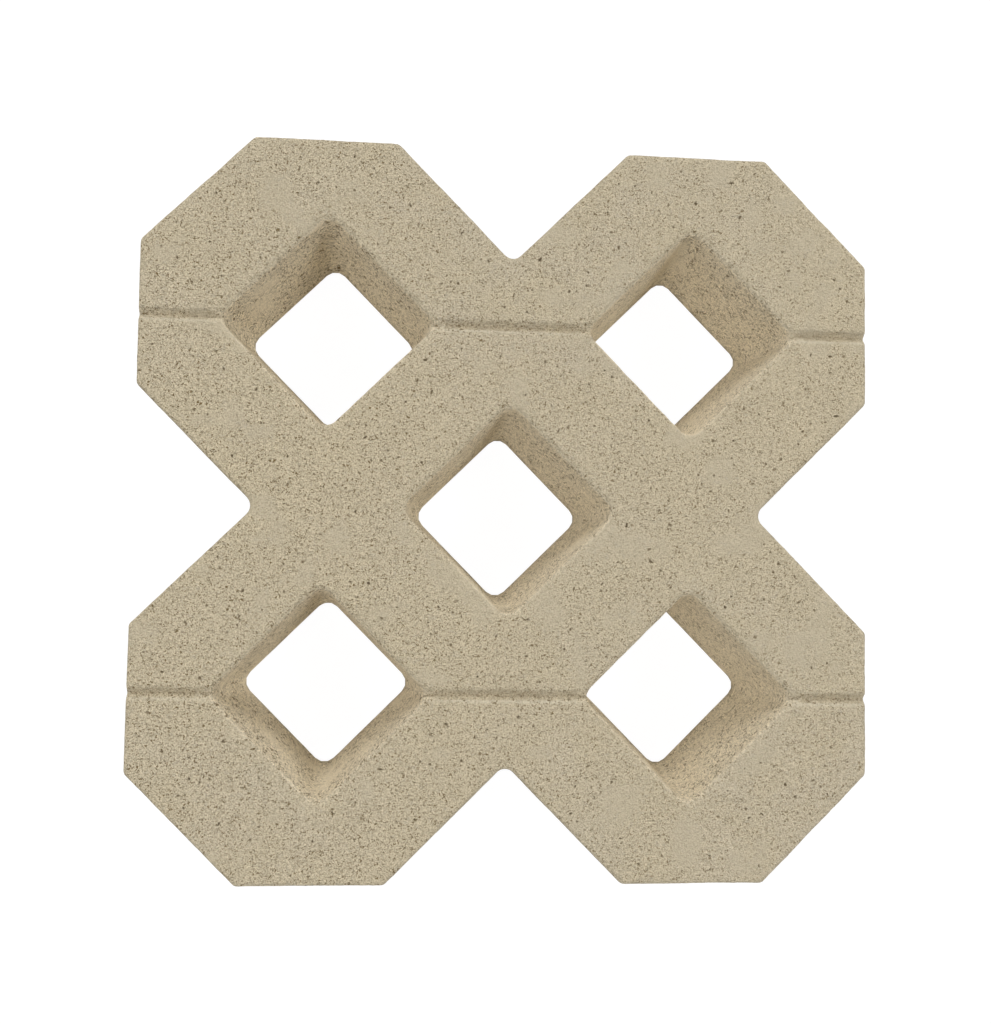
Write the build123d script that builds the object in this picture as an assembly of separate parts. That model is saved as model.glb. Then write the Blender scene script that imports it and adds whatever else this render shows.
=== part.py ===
from build123d import *
import os
from math import sqrt

# A concrete grass paver: one cast lattice block. Square openings turned on edge
# run through it, half openings notch its sides, its corners are cut, and a false
# joint is pressed across each row of openings, so that it reads as eight-sided
# stones. Millimetres. X runs along the false joints, Y across them, Z points up,
# and the origin is the middle of the face that lies on the ground.

# Block: a grid of cells, each one eight-sided stone with an opening in its middle
cell_pitch_x = 200.0
cell_pitch_y = 200.0
cells_along_x = 2
cells_along_y = 2
block_thickness = 80.0

# Outline
corner_cut_leg = 58.5
side_notch_side = 90.0
side_notch_root_radius = 6.0
outline_corner_radius = 4.0
outline_arris_radius = 2.5

# Openings: wide at the top, narrower at the ground
opening_top_side = 83.5
opening_base_side = 71.0
opening_corner_radius = 7.5
opening_arris_radius = 3.5

# False joints
joint_groove_width = 7.0
joint_groove_depth = 3.5
joint_groove_shoulder_radius = 1.5
joint_groove_root_radius = 0.8

block_length = cells_along_x * cell_pitch_x
block_width = cells_along_y * cell_pitch_y
west_side = -block_length / 2
south_side = -block_width / 2
turn_onto_corner = 45.0
rim_tolerance = 0.01


def turned_square(side):
    """A square that stands on one corner."""
    return Rot(0, 0, turn_onto_corner) * Rectangle(side, side)


def grid_corners():
    """Every place where cells meet or a cell has a free corner."""
    for column in range(cells_along_x + 1):
        for row in range(cells_along_y + 1):
            on_end = column in (0, cells_along_x)
            on_side = row in (0, cells_along_y)
            x = west_side + column * cell_pitch_x
            y = south_side + row * cell_pitch_y
            yield x, y, on_end, on_side


def opening_centres():
    """The middle of each cell, and each place where four cells meet."""
    centres = []
    for column in range(cells_along_x):
        for row in range(cells_along_y):
            x = west_side + (column + 0.5) * cell_pitch_x
            y = south_side + (row + 0.5) * cell_pitch_y
            centres.append((x, y))
    for x, y, on_end, on_side in grid_corners():
        if not on_end and not on_side:
            centres.append((x, y))
    return centres


def is_on_rim(vertex):
    """True for a corner of the outline that lies on one of the four long sides."""
    on_end = abs(abs(vertex.X) - block_length / 2) < rim_tolerance
    on_side = abs(abs(vertex.Y) - block_width / 2) < rim_tolerance
    return on_end or on_side


def block_outline():
    """The rectangle with its corners cut and a half opening at each cell boundary."""
    outline = Rectangle(block_length, block_width)
    for x, y, on_end, on_side in grid_corners():
        if on_end and on_side:
            outline -= Pos(x, y) * turned_square(corner_cut_leg * sqrt(2))
        elif on_end or on_side:
            outline -= Pos(x, y) * turned_square(side_notch_side)
    notch_roots = [v for v in outline.vertices() if not is_on_rim(v)]
    outline = fillet(notch_roots, side_notch_root_radius)
    rim_corners = [v for v in outline.vertices() if is_on_rim(v)]
    return fillet(rim_corners, outline_corner_radius)


def top_face(solid):
    """The level face of the block that is walked on."""
    return solid.faces().filter_by(Axis.Z).sort_by(Axis.Z)[-1]


def tapered_opening():
    """What one opening takes out: a turned square that widens towards the top."""
    half_base = opening_base_side / 2
    half_top = opening_top_side / 2
    section = make_face(
        Polyline(
            (-half_base, 0),
            (half_base, 0),
            (half_top, block_thickness),
            (-half_top, block_thickness),
            close=True,
        )
    )
    reach = max(half_base, half_top)
    wedge = extrude(Plane.XZ * section, reach, both=True)
    core = wedge & (Rot(0, 0, 90) * wedge)
    upright = [edge for edge in core.edges() if edge.bounding_box().size.Z > block_thickness / 2]
    core = fillet(upright, opening_corner_radius)
    return Rot(0, 0, turn_onto_corner) * core


def joint_groove():
    """What one false joint takes out: a V with eased shoulders, along the block."""
    half_width = joint_groove_width / 2
    shoulder_run = joint_groove_width
    profile = FilletPolyline(
        (-shoulder_run, 0),
        (-half_width, 0),
        (0, -joint_groove_depth),
        (half_width, 0),
        (shoulder_run, 0),
        radius=[joint_groove_shoulder_radius, joint_groove_root_radius, joint_groove_shoulder_radius],
    )
    lid = Polyline(
        (shoulder_run, 0),
        (shoulder_run, joint_groove_depth),
        (-shoulder_run, joint_groove_depth),
        (-shoulder_run, 0),
    )
    section = Plane.YZ * make_face([profile, lid])
    return extrude(section, block_length / 2 + joint_groove_depth, both=True)


def paver_block():
    """The whole block, cast as one piece."""
    block = extrude(block_outline(), block_thickness)
    block = fillet(top_face(block).outer_wire().edges(), outline_arris_radius)

    core = tapered_opening()
    for x, y in opening_centres():
        block -= Pos(x, y) * core
    arrises = [edge for wire in top_face(block).inner_wires() for edge in wire.edges()]
    block = fillet(arrises, opening_arris_radius)

    groove = joint_groove()
    for row in range(cells_along_y):
        y = south_side + (row + 0.5) * cell_pitch_y
        block -= Pos(0, y, block_thickness) * groove
    return block


os.makedirs("parts", exist_ok=True)
export_step(paver_block(), "parts/paver_block.step")
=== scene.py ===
import math
from collections import namedtuple

import bpy
import numpy as np
from mathutils import Matrix, Vector
from mathutils.geometry import delaunay_2d_cdt


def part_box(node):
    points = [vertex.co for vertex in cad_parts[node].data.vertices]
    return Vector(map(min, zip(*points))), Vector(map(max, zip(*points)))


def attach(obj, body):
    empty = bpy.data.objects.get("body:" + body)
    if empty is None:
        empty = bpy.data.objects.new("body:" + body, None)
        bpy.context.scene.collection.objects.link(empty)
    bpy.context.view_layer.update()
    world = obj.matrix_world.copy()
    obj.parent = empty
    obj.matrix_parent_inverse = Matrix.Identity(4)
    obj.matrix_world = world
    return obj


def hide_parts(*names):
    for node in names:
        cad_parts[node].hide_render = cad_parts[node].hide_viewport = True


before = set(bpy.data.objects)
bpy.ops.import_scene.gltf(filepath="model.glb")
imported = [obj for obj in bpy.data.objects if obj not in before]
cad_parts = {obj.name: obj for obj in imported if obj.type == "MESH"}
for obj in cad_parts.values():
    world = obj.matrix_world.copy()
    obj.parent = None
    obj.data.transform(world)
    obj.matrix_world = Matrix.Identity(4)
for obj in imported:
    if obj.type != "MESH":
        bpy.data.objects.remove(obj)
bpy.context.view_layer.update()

# The looks of a cast concrete grass paver. The block is rebuilt as one closed mesh on the
# solid's own surfaces, with the pores, the worn arrises and the uneven faces that the solid
# leaves out. Lengths are in millimetres until the mesh is made, and in metres from there on.

MM = 0.001
surface_seed = 408
rng = np.random.default_rng(surface_seed)

# The block, as the solid has it
low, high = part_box("paver_block")
half_length = (high.x - low.x) / 2 / MM
half_width = (high.y - low.y) / 2 / MM
thickness = (high.z - low.z) / MM
corner_cut_leg = 58.5
side_notch_side = 90.0
side_notch_root_radius = 6.0
outline_corner_radius = 4.0
outline_arris_radius = 2.5
opening_top_side = 83.5
opening_base_side = 71.0
opening_corner_radius = 7.5
opening_arris_radius = 3.5
joint_groove_width = 7.0
joint_groove_depth = 3.5
joint_groove_at = (-half_width / 2, half_width / 2)

slant = math.sqrt(2)
notch_reach = side_notch_side / slant
opening_centres = [
    (x, y) for x in (-half_length / 2, half_length / 2) for y in (-half_width / 2, half_width / 2)
] + [(0.0, 0.0)]

# How far each false joint strays from its straight line, at four places along the block
joint_wander_at = (-200.0, -60.0, 60.0, 200.0)
joint_wander = ((0.4, 0.2, 0.0, -0.4), (1.2, 0.6, 0.5, 1.2))

# How finely the level faces are cut, and how far a straight rim bends on their flat map
top_spacing = 2.5
base_spacing = 9.0
row_spacing_share = 0.87
rim_bend = 0.4

# How finely the walls are cut: close rows on the arris, wider ones towards the ground, and
# closer marks along the rims where a false joint runs out
rim_spacing = 1.5
arris_steps = 4
first_row_step = 1.3
row_growth = 1.16
last_row_margin = 3.0
fine_rows_below_arris = 7.0
wall_spacing_at_foot = 6.5
long_arc = 6.0
joint_fine_reach = 6.5
mark_to_row_gap = 1.15
seam_to_row_gap = 0.45
fine_row_shake = 0.12
wide_row_shake = 0.2
row_past_margin = 0.2
touching = 0.01

# Where pores may not lie, and the raster that this is marked on
raster_cell = 0.3
seam_margin = 1.2
foot_margin = 1.5
face_margin = 0.9
joint_margin = 5.6

# Pores: how many are tried, their radii, the share that are short gaps between grains, and
# how deep they are for their radius
Pores = namedtuple("Pores", "count smallest usual largest gap_share depth_share")
top_pores = Pores(6400, 0.34, 0.54, 1.5, 0.72, 0.85)
base_pores = Pores(200, 0.7, 1.1, 2.6, 0.3, 0.7)
opening_pores = Pores(300, 0.55, 0.95, 2.2, 0.5, 0.7)
outside_pores = opening_pores._replace(count=900)
pore_spread = 0.38
pore_tries = 5
pore_clear_share = 1.3
pore_clearance = 0.38


# Seeded noise and small helpers

cell_factors = (73856093, 19349663, 83492791)
seed_factor = 2654435761
mixing_factors = (0x9E3779B1, 0x85EBCA6B)
low_bits = 0xFFFFFFFF


def hashed(cell, seed):
    """A number from -1 to 1 for each cell of a grid, always the same one for the same seed."""
    x, y, z = (cell[:, k] * factor for k, factor in enumerate(cell_factors))
    mixed = x ^ y ^ z ^ seed * seed_factor
    mixed = (mixed & low_bits) * mixing_factors[0] & low_bits
    mixed = (mixed ^ (mixed >> 15)) * mixing_factors[1] & low_bits
    return (mixed ^ (mixed >> 13)) / (low_bits / 2) - 1


def noise(points, size, seed):
    """Smooth noise from -1 to 1 at 3-D points, with features about `size` across."""
    grid = points / size + 0.37 * seed
    base = np.floor(grid).astype(np.int64)
    part = grid - base
    part = part * part * (3 - 2 * part)
    total = np.zeros(len(points))
    for corner in range(8):
        step = np.array([(corner >> k) & 1 for k in range(3)])
        total += hashed(base + step, seed) * np.prod(np.where(step, part, 1 - part), axis=1)
    return total


def smoothstep(value, start, end):
    """0 below start, 1 above end, and a smooth rise between."""
    t = np.clip((value - start) / (end - start), 0, 1)
    return t * t * (3 - 2 * t)


def smooth_patch(points):
    """Where the face has closed up smooth, from 0 to 1: few pores, and a paler skin."""
    return smoothstep(noise(points, 19.0, seed=5) + 0.55 * noise(points, 8.0, seed=6), 0.35, 0.85)


def joint_line(number, x):
    """Where a false joint runs, as it wanders a little across the block."""
    return joint_groove_at[number] + np.interp(x, joint_wander_at, joint_wander[number])


class Loop:
    """A closed outline of straight runs and arcs, walked with the concrete on the left hand."""

    def __init__(self, corners, radii):
        corners = np.array(corners, float)
        count = len(corners)
        radii = np.broadcast_to(np.array(radii, float), (count,))
        ahead = np.roll(corners, -1, 0) - corners
        gap = np.linalg.norm(ahead, axis=1)
        ahead /= gap[:, None]
        behind = np.roll(ahead, 1, 0)
        cross = behind[:, 0] * ahead[:, 1] - behind[:, 1] * ahead[:, 0]
        turn = np.arctan2(cross, (behind * ahead).sum(1))
        trim = radii * np.tan(np.abs(turn) / 2)
        facing = np.arctan2(-behind[:, 0], behind[:, 1])
        parts = []
        for i in range(count):
            after = (i + 1) % count
            reach = np.sign(turn[i]) * radii[i]
            outward = np.array([math.cos(facing[i]), math.sin(facing[i])])
            centre = corners[i] - behind[i] * trim[i] - outward * reach
            parts.append((centre, (0, 0), facing[i], turn[i], reach, radii[i] * abs(turn[i])))
            start = corners[i] + ahead[i] * trim[i]
            length = gap[i] - trim[i] - trim[after]
            parts.append((start, ahead[i] * length, facing[i] + turn[i], 0, 0, length))
        self.anchor, self.run, self.facing, self.turn, self.radius, self.size = (
            np.array(values, float) for values in zip(*parts)
        )

    def walk(self, part, along, out):
        """Points at a share `along` each numbered part, moved `out` of the concrete."""
        angle = self.facing[part] + along * self.turn[part]
        outward = np.stack([np.cos(angle), np.sin(angle)], 1)
        reach = (self.radius[part] + out)[:, None]
        return self.anchor[part] + self.run[part] * along[:, None] + outward * reach


class Wall:
    """The rounded arris and the upright face along one loop. u is the way along, v the way down."""

    def __init__(self, upper, lower, lean, arris, pores, clear_below_arris):
        self.upper, self.lower, self.lean, self.arris = upper, lower, lean, arris
        self.starts = np.concatenate([[0], np.cumsum(upper.size)])
        self.length = self.starts[-1]
        tilt = math.atan(lean / thickness)
        self.sweep = math.pi / 2 - tilt
        self.inset = arris * math.tan(self.sweep / 2)
        self.roll = arris * self.sweep
        self.slope = math.cos(tilt)
        self.depth = self.roll + (thickness - arris * (1 - math.cos(self.sweep))) / self.slope
        self.pores = pores
        self.clear = self.roll + clear_below_arris

    def part(self, u):
        """The numbered part that each u lies on, and the share along it."""
        index = np.clip(np.searchsorted(self.starts, u, side="right") - 1, 0, len(self.upper.size) - 1)
        return index, np.clip((u - self.starts[index]) / self.upper.size[index], 0, 1)

    def place(self, u, v):
        """Points in space at (u, v)."""
        angle = np.minimum(v / self.arris, self.sweep)
        on_face = np.maximum(v - self.roll, 0)
        z = thickness - self.arris * (1 - np.cos(angle)) - on_face * self.slope
        z = np.where(v >= self.depth - 1e-9, 0.0, z)
        wall_line = self.lean * (thickness - z) / thickness
        out = np.where(on_face > 0, 0.0, -self.inset + self.arris * np.sin(angle) - wall_line)
        out = np.minimum(out, 0.0)
        part, along = self.part(u)
        above = self.upper.walk(part, along, out)
        below = self.lower.walk(part, along, out)
        share = ((thickness - z) / thickness)[:, None]
        return np.column_stack([above * (1 - share) + below * share, z])

    def rim_map(self, u, at_foot=False):
        """The rim on a flat map, with straight runs bent a hair so that no sliver lies inside it."""
        part, along = self.part(u)
        bend = rim_bend * along * (1 - along) * (self.upper.turn[part] == 0)
        if at_foot:
            return self.lower.walk(part, along, -bend)
        return self.upper.walk(part, along, -self.inset - bend)

    def marks(self, spacing, near_joint=False):
        """u at even steps along every part, closer where a false joint runs out."""
        found = []
        for start, size, turn in zip(self.starts, self.upper.size, self.upper.turn):
            least = 1
            if turn != 0:
                least = 3 if size > long_arc else 2
            count = max(least, round(size / spacing))
            found.append(start + size * np.arange(count) / count)
        u = np.concatenate(found)
        if near_joint:
            middle = self.halfway(u)
            y = self.place(middle, np.zeros(len(middle)))[:, 1]
            close = np.min([np.abs(y - at) for at in joint_groove_at], axis=0) < joint_fine_reach
            u = np.sort(np.concatenate([u, middle[close]]))
        return u

    def halfway(self, u):
        """The middle between each u and the next one."""
        return (u + np.append(u[1:], self.length)) / 2

    def in_margin(self, u, v, clear):
        """True beside the seam, above `clear` and along the ground, where no pore may lie."""
        beside_seam = (u < seam_margin) | (u > self.length - seam_margin)
        return beside_seam | (v < clear) | (v > self.depth - foot_margin)


class Room:
    """A raster over a flat patch that says where there is still room for a pore or a point."""

    def __init__(self, start, end):
        self.start = np.array(start, float)
        self.shape = tuple(int(math.ceil((e - s) / raster_cell)) for s, e in zip(start, end))
        self.taken = np.zeros(self.shape, bool)

    def centres(self):
        ways = (s + (np.arange(n) + 0.5) * raster_cell for s, n in zip(self.start, self.shape))
        return np.meshgrid(*ways, indexing="ij")

    def claim(self, x, y, reach):
        """Marks a disc as taken, or returns False where it isn't free."""
        i, j = int((x - self.start[0]) / raster_cell), int((y - self.start[1]) / raster_cell)
        n = int(math.ceil(reach / raster_cell))
        if i - n < 0 or j - n < 0 or i + n >= self.shape[0] or j + n >= self.shape[1]:
            return False
        window = self.taken[i - n:i + n + 1, j - n:j + n + 1]
        if window.any():
            return False
        a = np.arange(-n, n + 1)
        window |= a[:, None] ** 2 + a[None, :] ** 2 <= (reach / raster_cell) ** 2
        return True

    def is_free(self, points):
        i, j = (
            np.clip(((points[:, k] - self.start[k]) / raster_cell).astype(int), 0, self.shape[k] - 1)
            for k in range(2)
        )
        return ~self.taken[i, j]


class Patch:
    """Points on a flat map, the edges to keep, and how deep each point is sunk into the concrete."""

    def __init__(self):
        self.points, self.sunk, self.edges, self.count = [], [], [], 0

    def add(self, points, sunk=0.0):
        points = np.array(points, float).reshape(-1, 2)
        ids = np.arange(self.count, self.count + len(points))
        self.points.append(points)
        self.sunk.append(np.broadcast_to(np.array(sunk, float), (len(points),)))
        self.count += len(points)
        return ids

    def join(self, ids, closed=False):
        following = np.roll(ids, -1) if closed else ids[1:]
        self.edges.extend(zip((ids if closed else ids[:-1]).tolist(), following.tolist()))

    def pit(self, x, y, radius, depth):
        """A rounded pit: a rim that the mesh keeps, and one point or a small floor inside it."""
        sides_per_mm, fewest, most = 6.5, 5, 8
        least_with_floor, floor_share = 0.8, 0.42
        sides = int(np.clip(round(radius * sides_per_mm), fewest, most))
        angle = (np.arange(sides) + rng.uniform(-0.28, 0.28, sides)) * 2 * math.pi / sides
        reach = radius * rng.uniform(0.7, 1.15, sides)
        stretch = math.sqrt(1 + min(rng.exponential(0.45), 1.3))
        rim = self.lay(x, y, reach * np.cos(angle) * stretch, reach * np.sin(angle) / stretch)
        self.join(self.add(rim), closed=True)
        middle = rim.mean(0)
        if radius > least_with_floor:
            floor = middle + (rim[::2] - middle) * floor_share
            self.add(floor, depth * rng.uniform(0.8, 1.1, len(floor)))
        else:
            self.add(middle, depth)

    def gap(self, x, y, half, depth):
        """A short bent gap that follows a grain: a narrow rim with a sunk line inside it."""
        narrowest, widest = 0.16, 0.45
        wide = np.clip(half * rng.uniform(0.26, 0.42), narrowest, widest)
        bend = half * rng.uniform(-0.5, 0.5)
        along = np.array([-1.0, -0.35, 0.4, 1.0, 0.4, -0.35]) * half
        side = np.array([0.0, -1.0, -0.8, 0.0, 0.8, 1.0]) * wide
        along = along + rng.uniform(-0.12, 0.12, len(along)) * half
        across = side * rng.uniform(0.7, 1.2, len(side)) + bend * (1 - (along / half) ** 2)
        inner = np.array([-0.3, 0.35]) * half
        inner_across = bend * (1 - (inner / half) ** 2)
        points = self.lay(x, y, np.append(along, inner), np.append(across, inner_across))
        self.join(self.add(points[:len(along)]), closed=True)
        self.add(points[len(along):], depth * rng.uniform(0.75, 1.15, len(inner)))

    def lay(self, x, y, along, across):
        """Turns a small shape at random and puts it down at (x, y)."""
        turn = rng.uniform(0, 2 * math.pi)
        c, s = math.cos(turn), math.sin(turn)
        return np.stack([x + along * c - across * s, y + along * s + across * c], 1)

    def triangles(self):
        """All points, how far each is sunk, and the triangles between them."""
        points = np.concatenate(self.points)
        corners = [Vector(p) for p in points.tolist()]
        _, _, faces, origin, _, _ = delaunay_2d_cdt(corners, self.edges, [], 0, 1e-6, True)
        if any(len(o) != 1 for o in origin):
            raise RuntimeError("edges of the patch cross, or two of its points fall together")
        index = np.array([o[0] for o in origin])
        return points, np.concatenate(self.sunk), index[np.array(faces)]


def strew_pores(patch, room, pores, thin_out=None):
    """Fills a patch with pores of many sizes, the large ones first, where there is room."""
    radii = rng.lognormal(math.log(pores.usual), pore_spread, pores.count)
    radii = np.sort(np.clip(radii, pores.smallest, pores.largest))[::-1]
    spots = rng.uniform(0, 1, (pores.count * pore_tries, 2))
    spots = room.start + spots * np.array(room.shape) * raster_cell
    fits = np.ones(len(spots), bool) if thin_out is None else rng.uniform(0, 1, len(spots)) > thin_out(spots)
    for k, radius in enumerate(radii):
        tried = slice(k * pore_tries, (k + 1) * pore_tries)
        for spot, fit in zip(spots[tried], fits[tried]):
            if fit and room.claim(*spot, radius * pore_clear_share + pore_clearance):
                depth = radius * pores.depth_share * rng.uniform(0.7, 1.25)
                if radius < 1.5 * pores.usual and rng.uniform() < pores.gap_share:
                    patch.gap(*spot, radius * 1.15, depth)
                else:
                    patch.pit(*spot, radius * 0.8, depth)
                break


def scatter(room, spacing):
    """Points on a shaken triangular grid over the block, where there is room."""
    columns = np.arange(-half_length, half_length, spacing)
    rows = np.arange(-half_width, half_width, spacing * row_spacing_share)
    x, y = np.meshgrid(columns, rows, indexing="ij")
    x = x + (np.arange(len(rows)) % 2) * spacing / 2
    points = np.stack([x.ravel(), y.ravel()], 1)
    points += rng.uniform(-0.24, 0.24, points.shape) * spacing
    return points[room.is_free(points)]


def is_inside(points, loops):
    """True where a point is inside an odd number of the closed polygons."""
    inside = np.zeros(len(points), bool)
    for loop in loops:
        after = np.roll(loop, -1, 0)
        for (x0, y0), (x1, y1) in zip(loop, after):
            if y0 == y1:
                continue
            between = (points[:, 1] >= min(y0, y1)) & (points[:, 1] < max(y0, y1))
            hits = np.nonzero(between)[0]
            crossing = x0 + (points[hits, 1] - y0) / (y1 - y0) * (x1 - x0)
            inside[hits] ^= points[hits, 0] < crossing
    return inside


class Block:
    """The mesh as it grows: points in space, how far each is to sink, and triangles."""

    def __init__(self):
        self.places, self.sunk, self.triangles, self.count = [], [], [], 0

    def keep(self, places, sunk):
        """Adds points and returns their numbers."""
        ids = np.arange(self.count, self.count + len(places))
        self.places.append(places)
        self.sunk.append(sunk)
        self.count += len(places)
        return ids

    def finished(self):
        """The three as whole arrays, without the points that no triangle uses."""
        places, sunk, triangles = map(np.concatenate, (self.places, self.sunk, self.triangles))
        used = np.unique(triangles)
        renumber = np.full(len(places), -1)
        renumber[used] = np.arange(len(used))
        return places[used], sunk[used], renumber[triangles]


# The walls: one round the outside, and one in each opening

def turned_square(x, y, side):
    """The corners of a square on one corner, clockwise, so that the concrete round it is on the left."""
    reach = side / slant
    return [(x + reach, y), (x, y - reach), (x - reach, y), (x, y + reach)]


def outline_corners():
    """The block's outline from above, counter-clockwise, and the radius of each corner."""
    quarter_corners = (
        (half_length - notch_reach, 0, side_notch_root_radius),
        (half_length, notch_reach, outline_corner_radius),
        (half_length, half_width - corner_cut_leg, outline_corner_radius),
        (half_length - corner_cut_leg, half_width, outline_corner_radius),
        (notch_reach, half_width, outline_corner_radius),
    )
    corners, radii = [], []
    for quarter in range(4):
        c, s = round(math.cos(quarter * math.pi / 2)), round(math.sin(quarter * math.pi / 2))
        for x, y, radius in quarter_corners:
            corners.append((c * x - s * y, s * x + c * y))
            radii.append(radius)
    return corners, radii


def outside_wall():
    loop = Loop(*outline_corners())
    return Wall(loop, loop, 0.0, outline_arris_radius, outside_pores, clear_below_arris=1.0)


def opening_wall(x, y):
    upper = Loop(turned_square(x, y, opening_top_side), opening_corner_radius)
    lower = Loop(turned_square(x, y, opening_base_side), opening_corner_radius)
    lean = (opening_top_side - opening_base_side) / 2
    return Wall(upper, lower, lean, opening_arris_radius, opening_pores, clear_below_arris=0.0)


def wall_rows(wall):
    """How far down each row of points lies."""
    rows = list(np.linspace(0, wall.roll, arris_steps + 1)[1:])
    step = first_row_step
    while rows[-1] + step < wall.depth - last_row_margin:
        rows.append(rows[-1] + step)
        step = min(step * row_growth, wall_spacing_at_foot)
    return rows


def wall_grid(wall, rows, fine, room):
    """The points of all rows, shaken a little, where no pore is in the way."""
    grid = []
    for k, row in enumerate(rows):
        gap = row - (rows[k - 1] if k else 0)
        is_fine = row < wall.roll + fine_rows_below_arris
        marks = fine if is_fine else wall.marks(gap * mark_to_row_gap)
        if k % 2 == 0:
            marks = wall.halfway(marks)
        shake = fine_row_shake if is_fine else wide_row_shake
        if row <= wall.roll + touching:
            shake = 0.0
        points = np.stack([marks, np.full(len(marks), row)], 1)
        points += rng.uniform(-shake, shake, points.shape) * gap
        off_seam = seam_to_row_gap * gap
        points = points[(points[:, 0] > off_seam) & (points[:, 0] < wall.length - off_seam)]
        in_margin = wall.in_margin(points[:, 0], points[:, 1], wall.clear + row_past_margin)
        grid.append(points[room.is_free(points) | in_margin])
    return np.concatenate(grid)


def lay_wall(block, wall):
    """Adds a wall to the block. Returns the points on its two rims, each with its flat map."""
    patch = Patch()
    fine = wall.marks(rim_spacing, near_joint=True)
    coarse = wall.marks(wall_spacing_at_foot)
    head = patch.add(np.stack([fine, np.zeros(len(fine))], 1))
    foot = patch.add(np.stack([coarse, np.full(len(coarse), wall.depth)], 1))
    rows = wall_rows(wall)

    room = Room((0, 0), (wall.length, wall.depth))
    room.taken |= wall.in_margin(*room.centres(), wall.clear)
    strew_pores(patch, room, wall.pores)

    # the wall is cut open along a seam, whose right side is joined to the left one again
    right_v = np.array([0] + rows + [wall.depth])
    left = patch.add(np.stack([np.zeros(len(rows)), rows], 1))
    right = patch.add(np.stack([np.full(len(right_v), wall.length), right_v], 1))
    left = np.concatenate([[head[0]], left, [foot[0]]])
    patch.add(wall_grid(wall, rows, fine, room))
    for line in (np.append(head, right[0]), np.append(foot, right[-1]), left, right):
        patch.join(line)

    flat, deep, faces = patch.triangles()
    ids = block.keep(wall.place(flat[:, 0], flat[:, 1]), deep)
    ids[right] = ids[left]
    block.triangles.append(ids[faces][:, ::-1])
    return (ids[head], wall.rim_map(fine)), (ids[foot], wall.rim_map(coarse, at_foot=True))


# The level faces: the top, with the false joints on it, and the base

def close_off(room, inset, opening_half):
    """Takes away the room outside the level face and along its rims."""
    x, y = room.centres()
    ax, ay = np.abs(x), np.abs(y)
    rim = (inset + face_margin) * slant
    room.taken |= ax > half_length - inset - face_margin
    room.taken |= ay > half_width - inset - face_margin
    room.taken |= ax + ay > half_length + half_width - corner_cut_leg - rim
    room.taken |= (half_length - ax) + ay < notch_reach + rim
    room.taken |= (half_width - ay) + ax < notch_reach + rim
    for cx, cy in opening_centres:
        room.taken |= np.abs(x - cx) + np.abs(y - cy) < (opening_half + face_margin) * slant


def lay_joint_lanes(patch, room):
    """Rows of points along the false joints, and no room for pores there."""
    half_lanes = [0, 0.6, 1.5, 2.5, 3.3, 4.2, 5.3]
    first_step, widening = 1.4, 0.12
    lanes = [-lane for lane in half_lanes[:0:-1]] + half_lanes
    joints = range(len(joint_groove_at))
    for number in joints:
        for lane in lanes:
            step = first_step + widening * abs(lane)
            along = np.arange(-half_length + 1, half_length - 1, step) + (step / 2 if lane else 0)
            row = np.stack([along, joint_line(number, along) + lane], 1)
            row[:, 0] += rng.uniform(-0.15, 0.15, len(row))
            row[:, 1] += rng.uniform(-0.06, 0.06, len(row)) * (lane != 0)
            patch.add(row[room.is_free(row)])
    x, y = room.centres()
    for number in joints:
        room.taken |= np.abs(y - joint_line(number, x)) < joint_margin


def top_thin_out(spots):
    """The share of pores that is missing at each spot of the top, as its skin has closed up there."""
    return 0.85 * smooth_patch(np.column_stack([spots, np.full(len(spots), thickness)]))


def lay_face(block, rims, is_top, spacing, pores, inset, opening_half):
    """Adds the level face between the rims, with its pores, to the block."""
    rim_ids, lines = zip(*rims)
    patch = Patch()
    for line in lines:
        patch.join(patch.add(line), closed=True)
    room = Room((-half_length, -half_width), (half_length, half_width))
    close_off(room, inset, opening_half)
    if is_top:
        lay_joint_lanes(patch, room)
    strew_pores(patch, room, pores, top_thin_out if is_top else None)
    patch.add(scatter(room, spacing))

    flat, deep, faces = patch.triangles()
    faces = faces[is_inside(flat[faces].mean(1), lines)]
    on_rims = sum(map(len, lines))
    inner = flat[on_rims:]
    level = np.full(len(inner), thickness if is_top else 0.0)
    ids = np.concatenate([*rim_ids, block.keep(np.column_stack([inner, level]), deep[on_rims:])])
    block.triangles.append(ids[faces] if is_top else ids[faces][:, ::-1])


walls = [outside_wall()] + [opening_wall(x, y) for x, y in opening_centres]
block = Block()
top_rims, base_rims = zip(*[lay_wall(block, wall) for wall in walls])
opening_top_half = opening_top_side / 2 + walls[-1].inset
lay_face(block, top_rims, True, top_spacing, top_pores, outline_arris_radius, opening_top_half)
lay_face(block, base_rims, False, base_spacing, base_pores, 0.0, opening_base_side / 2)
places, sunk, triangles = block.finished()


# The false joints: the surface sinks along them, and the walls below give way

def joint_depth(points):
    """How far the surface sinks at each point, from the pressed V and its uneven edges."""
    depth = np.zeros(len(points))
    line = points * (1, 0, 0)
    blunt_root, blunt_shoulder = 0.25, 0.01
    narrowed_by = 0.45
    half_width_of_v = joint_groove_width / 2 - narrowed_by
    for number in range(len(joint_groove_at)):
        off = points[:, 1] - joint_line(number, points[:, 0])
        off = off + 0.30 * noise(line, 17.0, seed=20 + number) + 0.12 * noise(line, 4.5, seed=22 + number)
        off = np.sqrt(off ** 2 + blunt_root ** 2) - blunt_root
        share = 1 - off / half_width_of_v
        share = 0.5 * (share + np.sqrt(share ** 2 + blunt_shoulder)) * (off < 8)
        depth += share * joint_groove_depth * (1 + 0.10 * noise(line, 24.0, seed=24 + number))
    return depth


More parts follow.
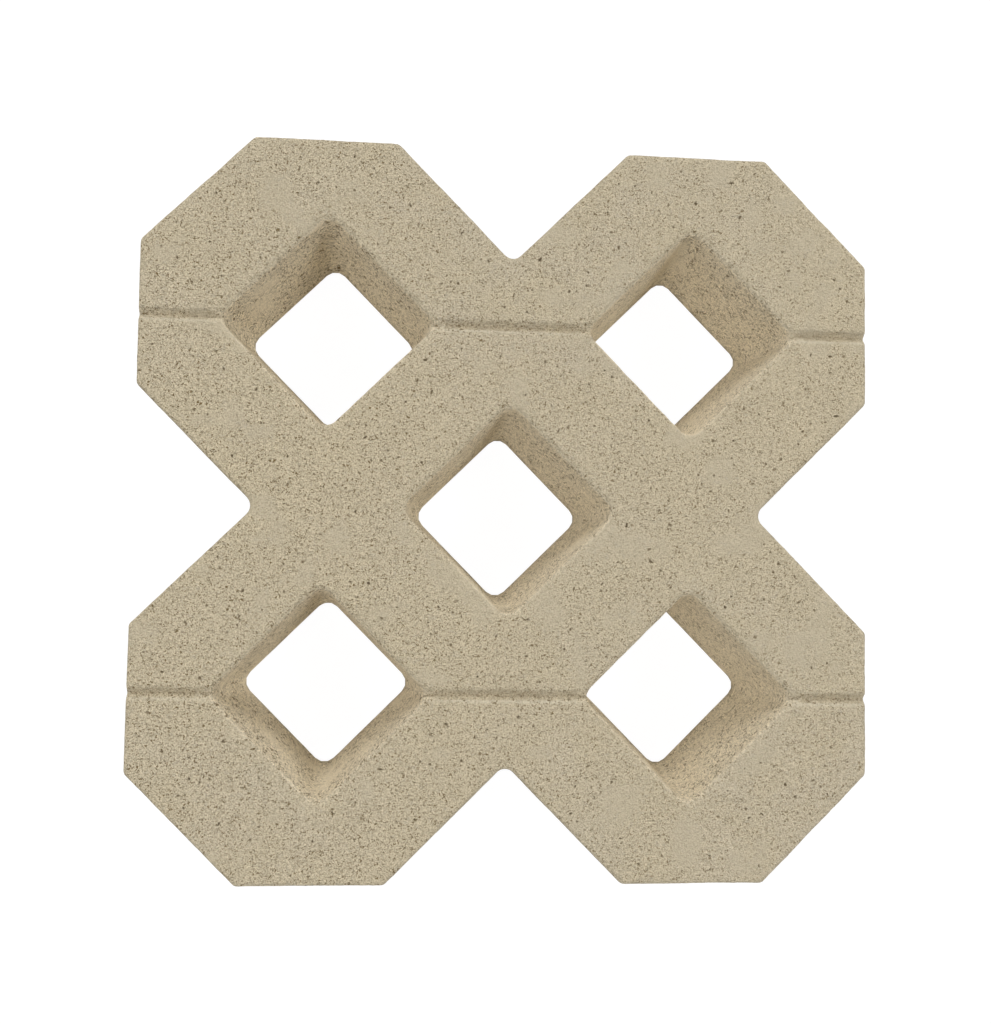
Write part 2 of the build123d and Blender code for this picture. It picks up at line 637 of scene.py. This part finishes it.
def shoulder_highlight_at(points):
    """1 along the near shoulder of each joint, where a painted highlight makes the skin pale."""
    share = np.zeros(len(points))
    shoulder_off, highlight_reach = 2.75, 1.0
    uneven = 0.75 + 0.25 * noise(points * (1, 0, 0), 5.0, seed=27)
    for number in range(len(joint_groove_at)):
        off = points[:, 1] - joint_line(number, points[:, 0]) + shoulder_off
        share += np.clip(1 - np.abs(off) / highlight_reach, 0, 1) * uneven
    return share


# how far down the walls they give way to a joint
give_way_reach = 14.0
pressed = joint_depth(places) * np.clip(1 - (thickness - places[:, 2]) / give_way_reach, 0, 1)
# a painted highlight along the near shoulder of each joint, on the top face
shoulder_highlight = shoulder_highlight_at(places) * (places[:, 2] > thickness - touching)
places[:, 2] -= pressed


# The uneven surface: everything moves along the normal, inwards where concrete is missing

def point_normals(points, faces):
    corner = points[faces]
    normal = np.cross(corner[:, 1] - corner[:, 0], corner[:, 2] - corner[:, 0])
    total = np.zeros_like(points)
    for k in range(3):
        np.add.at(total, faces[:, k], normal)
    return total / np.maximum(np.linalg.norm(total, axis=1), 1e-12)[:, None]


normals = point_normals(places, triangles)
upright = 1 - np.abs(normals[:, 2])
on_base = places[:, 2] < touching
arris_reach = 6.0
on_arris = (upright > 0.03) & (upright < 0.88) & (thickness - places[:, 2] < arris_reach)
skin = smooth_patch(places)
side_face = smoothstep(upright, 0.05, 0.7)
# The walls in the openings are painted paler: painted light, for light that these walls lack under the
# lamps.
from_opening = np.min([np.abs(places[:, :2] - at).sum(1) for at in opening_centres], axis=0)
opening_reach = opening_top_side * 0.78
painted_wall_light = side_face * (from_opening < opening_reach)

# waves: how high they are, times noise of their length
broad_waves = 0.16 * noise(places, 46.0, seed=1) + 0.10 * noise(places, 15.0, seed=2)
small_waves = 0.085 * noise(places, 4.2, seed=3) + 0.05 * rng.uniform(-1, 1, len(places))
worn = 0.55 * np.clip(noise(places, 6.5, seed=11) - 0.15, 0, 1)
worn += 0.45 * np.clip(noise(places, 2.8, seed=12) - 0.3, 0, 1)
worn *= on_arris * 0.5
set_in = 0.12
proudest_grain = 0.2
shift = broad_waves + small_waves * (1 - 0.6 * skin) - set_in - sunk - worn
shift = np.where(on_base & (sunk == 0), np.minimum(shift, 0) * 0.35, shift)
places = places + normals * shift[:, None]
places[:, 2] = np.clip(places[:, 2], 0.0, thickness + proudest_grain)


# The mesh

scene = bpy.context.scene


def make_mesh(name, points, faces):
    mesh = bpy.data.meshes.new(name)
    mesh.vertices.add(len(points))
    mesh.vertices.foreach_set("co", (points * MM).astype(np.float32).ravel())
    mesh.loops.add(len(faces) * 3)
    mesh.loops.foreach_set("vertex_index", faces.astype(np.int32).ravel())
    mesh.polygons.add(len(faces))
    mesh.polygons.foreach_set("loop_start", np.arange(0, len(faces) * 3, 3, dtype=np.int32))
    mesh.update(calc_edges=True)
    mesh.validate()
    mesh.polygons.foreach_set("use_smooth", np.ones(len(mesh.polygons), bool))
    return mesh


def give(mesh, name, values):
    attribute = mesh.attributes.new(name, "FLOAT", "POINT")
    attribute.data.foreach_set("value", values.astype(np.float32))


deepest_pore = 0.9
crease_angle = math.radians(42)
mesh = make_mesh("grass_paver", places, triangles)
give(mesh, "pore", np.clip(sunk / deepest_pore, 0, 1))
give(mesh, "skin", skin)
# painted light on the walls in the openings
give(mesh, "painted_wall_light", painted_wall_light)
give(mesh, "joint", np.clip(pressed / joint_groove_depth, 0, 1) * (1 - side_face))
# a painted highlight on the joint shoulders
give(mesh, "shoulder_highlight", shoulder_highlight)
mesh.set_sharp_from_angle(angle=crease_angle)
paver = bpy.data.objects.new("grass_paver", mesh)
scene.collection.objects.link(paver)
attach(paver, "root")
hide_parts("paver_block")


# Materials

class Nodes:
    """Short names for making and joining shader nodes."""

    def __init__(self, owner):
        owner.use_nodes = True
        self.tree = owner.node_tree
        self.tree.nodes.clear()

    def make(self, kind, **inputs):
        """A node whose inputs have the given names, with a _ for each space."""
        node = self.tree.nodes.new(kind)
        for name, value in inputs.items():
            self.feed(node.inputs[name.replace("_", " ")], value)
        return node

    def feed(self, socket, value):
        """Links an output to the socket, or sets a value on it."""
        if hasattr(value, "is_output"):
            self.tree.links.new(value, socket)
        else:
            socket.default_value = (*value, 1) if isinstance(value, tuple) else value

    def math(self, operation, a, b, clamp=False):
        node = self.tree.nodes.new("ShaderNodeMath")
        node.operation, node.use_clamp = operation, clamp
        self.feed(node.inputs[0], a)
        self.feed(node.inputs[1], b)
        return node.outputs[0]

    def plus(self, a, b):
        return self.math("ADD", a, b)

    def minus(self, a, b):
        return self.math("SUBTRACT", a, b)

    def times(self, a, b, clamp=False):
        return self.math("MULTIPLY", a, b, clamp)

    def larger(self, a, b):
        return self.math("MAXIMUM", a, b)

    def ramp(self, value, start, end, low=0.0, high=1.0):
        node = self.make("ShaderNodeMapRange", Value=value, From_Min=start, From_Max=end,
                         To_Min=low, To_Max=high)
        return node.outputs["Result"]

    def noise(self, where, size, detail=2.0, rough=0.5, bent=0.0):
        """Noise with features of `size` millimetres."""
        scale = 1 / (size * MM)
        node = self.make("ShaderNodeTexNoise", Distortion=bent, Vector=where, Scale=scale, Detail=detail,
                         Roughness=rough)
        return node.outputs["Fac"]

    def attribute(self, name):
        node = self.make("ShaderNodeAttribute")
        node.attribute_name = name
        return node.outputs["Fac"]

    def mix(self, share, a, b, blend="MIX"):
        """One colour over another."""
        node = self.tree.nodes.new("ShaderNodeMix")
        node.data_type, node.blend_type = "RGBA", blend
        for place, value in ((0, share), (6, a), (7, b)):
            self.feed(node.inputs[place], value)
        return node.outputs[2]

    def mix_shaders(self, share, a, b):
        node = self.make("ShaderNodeMixShader")
        for socket, value in zip(node.inputs, (share, a, b)):
            self.feed(socket, value)
        return node.outputs[0]

    def seen_directly(self):
        """1 for the rays that show a thing itself, and 0 for those that only carry its light."""
        rays = self.make("ShaderNodeLightPath").outputs
        seen = self.larger(rays["Is Camera Ray"], rays["Is Glossy Ray"])
        return self.larger(seen, rays["Is Transmission Ray"])


# How large, in millimetres, the features of the concrete's colour and fine relief are
drift_size = 130.0
uneven_size = 90.0
blotch_size = 24.0
clump_size = 5.0
grey_grain_size = 2.4
sand_size = 2.0
large_hole_size = 1.5
bead_size = 1.5
small_hole_size = 1.0
fine_grain_size = 0.85

# How strongly they show: a share of 1 covers what is below
skin_share = 0.5
grain_contrast = 0.21
grey_grain_share = 0.12
# a painted highlight on the joint shoulders
shoulder_highlight_share = 0.75
# painted shade at the roots of the joints
joint_root_shade_share = 0.25
# dirt and painted shade in the small holes, on the top and on the walls in the openings
hole_dirt_and_shade_share = 0.84
wall_hole_dirt_and_shade_share = 0.82
# dirt and painted shade in the pores
pore_dirt_and_shade_share = 0.50
hole_relief = 0.25
bead_relief = 0.35
bump_height = 1.2
wall_bump_height = 0.8

sand_warm = (0.528, 0.452, 0.313)
sand_cool = (0.508, 0.441, 0.321)
sand_blotch = (0.512, 0.440, 0.308)
closed_skin = (0.480, 0.417, 0.302)
# painted light for the walls in the openings
painted_wall_light_colour = (0.820, 0.722, 0.540)
grey_grain = (0.360, 0.345, 0.310)
# a painted highlight for the joint shoulders
shoulder_highlight_colour = (0.690, 0.630, 0.490)
# painted shade for the joint roots
joint_root_shade = (0.330, 0.265, 0.165)
# dirt and painted shade for the small holes
hole_dirt_and_shade = (0.162, 0.112, 0.046)
# dirt and painted shade for the pores
pore_dirt_and_shade = (0.165, 0.118, 0.058)


def concrete():
    material = bpy.data.materials.new("cast_concrete")
    n = Nodes(material)
    where = n.make("ShaderNodeTexCoord").outputs["Object"]
    pore, skin, painted_wall_light, joint, shoulder_highlight = map(n.attribute, ("pore", "skin", "painted_wall_light", "joint", "shoulder_highlight"))

    # the surface is more open towards the west end, and less where its skin has closed up
    across = n.make("ShaderNodeSeparateXYZ", Vector=where).outputs["X"]
    uneven_across = n.plus(across, n.times(n.noise(where, uneven_size), 0.12))
    rough = n.ramp(uneven_across, -0.06, 0.22, 1.15, 0.86)
    rough = n.times(rough, n.minus(1.0, n.times(skin, 0.4)))

    # sand grains, and the small holes between them
    drift = n.noise(where, drift_size)
    blotch = n.noise(where, blotch_size, detail=3.0, rough=0.6)
    fine = n.noise(where, fine_grain_size, detail=1.0, rough=0.6)
    sand = n.noise(where, sand_size, detail=1.0)
    clump = n.noise(where, clump_size, detail=1.0)
    open_ground = n.minus(1.0, n.times(skin, 0.55))
    open_ground = n.times(open_ground, n.ramp(clump, 0.42, 0.57, 0.45, 1.0))
    open_ground = n.larger(open_ground, joint)
    small_holes = n.noise(where, small_hole_size, detail=0.0, bent=1.1)
    small_holes = n.ramp(n.plus(small_holes, n.times(joint, 0.03)), 0.63, 0.67)
    large_holes = n.noise(where, large_hole_size, detail=0.0, bent=0.9)
    large_holes = n.times(n.ramp(large_holes, 0.605, 0.65), painted_wall_light)
    hole = n.times(n.larger(small_holes, large_holes), open_ground)
    grey = n.noise(where, grey_grain_size, detail=0.0)
    grain = n.plus(n.times(fine, 0.78), n.times(sand, 0.16))
    grain = n.plus(grain, n.times(clump, 0.06))

    colour = n.mix(n.ramp(drift, 0.35, 0.65), sand_warm, sand_cool)
    colour = n.mix(n.ramp(blotch, 0.36, 0.64), colour, sand_blotch)
    colour = n.mix(n.times(skin, skin_share), colour, closed_skin)
    # painted light: the walls in the openings are coloured paler than the top
    colour = n.mix(painted_wall_light, colour, painted_wall_light_colour)
    light_grain = n.times(n.ramp(grain, 0.38, 0.62, -grain_contrast, grain_contrast), rough)
    colour = n.mix(1.0, colour, n.plus(1.0, light_grain), "MULTIPLY")
    colour = n.mix(n.times(n.ramp(grey, 0.68, 0.74), grey_grain_share), colour, grey_grain)
    # painted highlight along the near shoulder of each joint
    colour = n.mix(n.times(shoulder_highlight, shoulder_highlight_share, clamp=True), colour, shoulder_highlight_colour)
    # painted shade, darker towards the root of each joint
    colour = n.mix(n.ramp(joint, 0.55, 1.0, 0.0, joint_root_shade_share), colour, joint_root_shade)
    # dirt and painted shade in the small holes between the grains
    hole_darkening = n.times(hole, n.ramp(painted_wall_light, 0.0, 1.0, hole_dirt_and_shade_share, wall_hole_dirt_and_shade_share))
    colour = n.mix(n.times(hole_darkening, rough, clamp=True), colour, hole_dirt_and_shade)
    # dirt and painted shade in the pores, darker the deeper they are
    colour = n.mix(n.ramp(pore, 0.05, 0.75, 0.0, pore_dirt_and_shade_share), colour, pore_dirt_and_shade)

    beads = n.make("ShaderNodeTexVoronoi", Vector=where, Scale=1 / (bead_size * MM)).outputs["Distance"]
    relief = n.minus(grain, n.times(hole, hole_relief))
    relief = n.minus(relief, n.times(n.times(beads, beads), bead_relief))
    height = n.times(n.ramp(painted_wall_light, 0.0, 1.0, bump_height, wall_bump_height), MM)
    bump = n.make("ShaderNodeBump", Height=relief, Strength=1.0, Distance=height)

    shader = n.make("ShaderNodeBsdfPrincipled", Base_Color=colour, Normal=bump.outputs["Normal"])
    n.feed(shader.inputs["Roughness"], n.ramp(fine, 0.3, 0.7, 0.97, 0.86))
    n.feed(shader.inputs["Specular IOR Level"], 0.25)
    n.make("ShaderNodeOutputMaterial", Surface=shader.outputs["BSDF"])
    return material


paver.data.materials.append(concrete())


# The floor: white to the camera, with the block's shadow still faintly on it

def white_floor():
    material = bpy.data.materials.new("white_floor")
    n = Nodes(material)
    glow = n.make("ShaderNodeEmission", Strength=0.96)
    shade = n.make("ShaderNodeBsdfDiffuse", Color=(0.10, 0.10, 0.10))
    both = n.make("ShaderNodeAddShader")
    n.feed(both.inputs[0], glow.outputs[0])
    n.feed(both.inputs[1], shade.outputs[0])
    plain = n.make("ShaderNodeBsdfDiffuse", Color=(0.94, 0.94, 0.93))
    n.make("ShaderNodeOutputMaterial",
           Surface=n.mix_shaders(n.seen_directly(), plain.outputs[0], both.outputs[0]))
    return material


floor_half = 6.0
floor_z = -0.0002
floor_mesh = bpy.data.meshes.new("floor")
floor_corners = [(x * floor_half, y * floor_half, floor_z) for x, y in ((-1, -1), (1, -1), (1, 1), (-1, 1))]
floor_mesh.from_pydata(floor_corners, [], [(0, 1, 2, 3)])
floor = bpy.data.objects.new("floor", floor_mesh)
floor_mesh.materials.append(white_floor())
scene.collection.objects.link(floor)


# Light: a soft sky and wide lamps

ambient_strength = 0.18
lamp_spread = math.radians(30)


def white_sky():
    """White to the camera, and a low even light on everything."""
    world = bpy.data.worlds.new("studio")
    n = Nodes(world)
    white = (1.0, 1.0, 1.0)
    ambient = n.make("ShaderNodeBackground", Strength=ambient_strength, Color=white)
    backdrop = n.make("ShaderNodeBackground", Strength=1.0, Color=white)
    n.make("ShaderNodeOutputWorld",
           Surface=n.mix_shaders(n.seen_directly(), ambient.outputs[0], backdrop.outputs[0]))
    return world


def lamp(name, azimuth, elevation, level):
    """A wide distant lamp: azimuth clockwise from the block's far side, both in degrees."""
    light = bpy.data.lights.new(name, "SUN")
    light.energy = level * math.pi
    light.angle = lamp_spread
    thing = bpy.data.objects.new(name, light)
    a, e = math.radians(azimuth), math.radians(elevation)
    way = Vector((math.sin(a) * math.cos(e), math.cos(a) * math.cos(e), math.sin(e)))
    thing.rotation_mode = "QUATERNION"
    thing.rotation_quaternion = way.to_track_quat("Z", "Y")
    scene.collection.objects.link(thing)


scene.world = white_sky()
lamp("lamp_far", 0, 33, 0.35)
lamp("lamp_right", 90, 50, 0.435)
lamp("lamp_near_left", 225, 50, 0.315)
lamp("lamp_far_left", 315, 50, 0.28)


# The camera of the photograph

camera_at = Vector((-0.06505, -0.03499, 0.71396))
camera_aim = Vector((-0.00755, -0.00081, 0.08000))
camera_roll = math.radians(-0.938)
camera_sensor = 36.0
camera_lens = 41.445
camera = bpy.data.cameras.new("camera")
camera.sensor_fit = "AUTO"
camera.sensor_width = camera_sensor
camera.lens = camera_lens
camera.clip_start = 0.01
eye = bpy.data.objects.new("camera", camera)
ahead = (camera_aim - camera_at).normalized()
level_up = (Vector((0, 1, 0)) - ahead * ahead.y).normalized()
level_right = ahead.cross(level_up)
upward = level_up * math.cos(camera_roll) + level_right * math.sin(camera_roll)
right = ahead.cross(upward)
turned = Matrix((right, upward, -ahead)).transposed().to_4x4()
eye.matrix_world = Matrix.Translation(camera_at) @ turned
scene.collection.objects.link(eye)
scene.camera = eye
scene.view_settings.view_transform = "Standard"
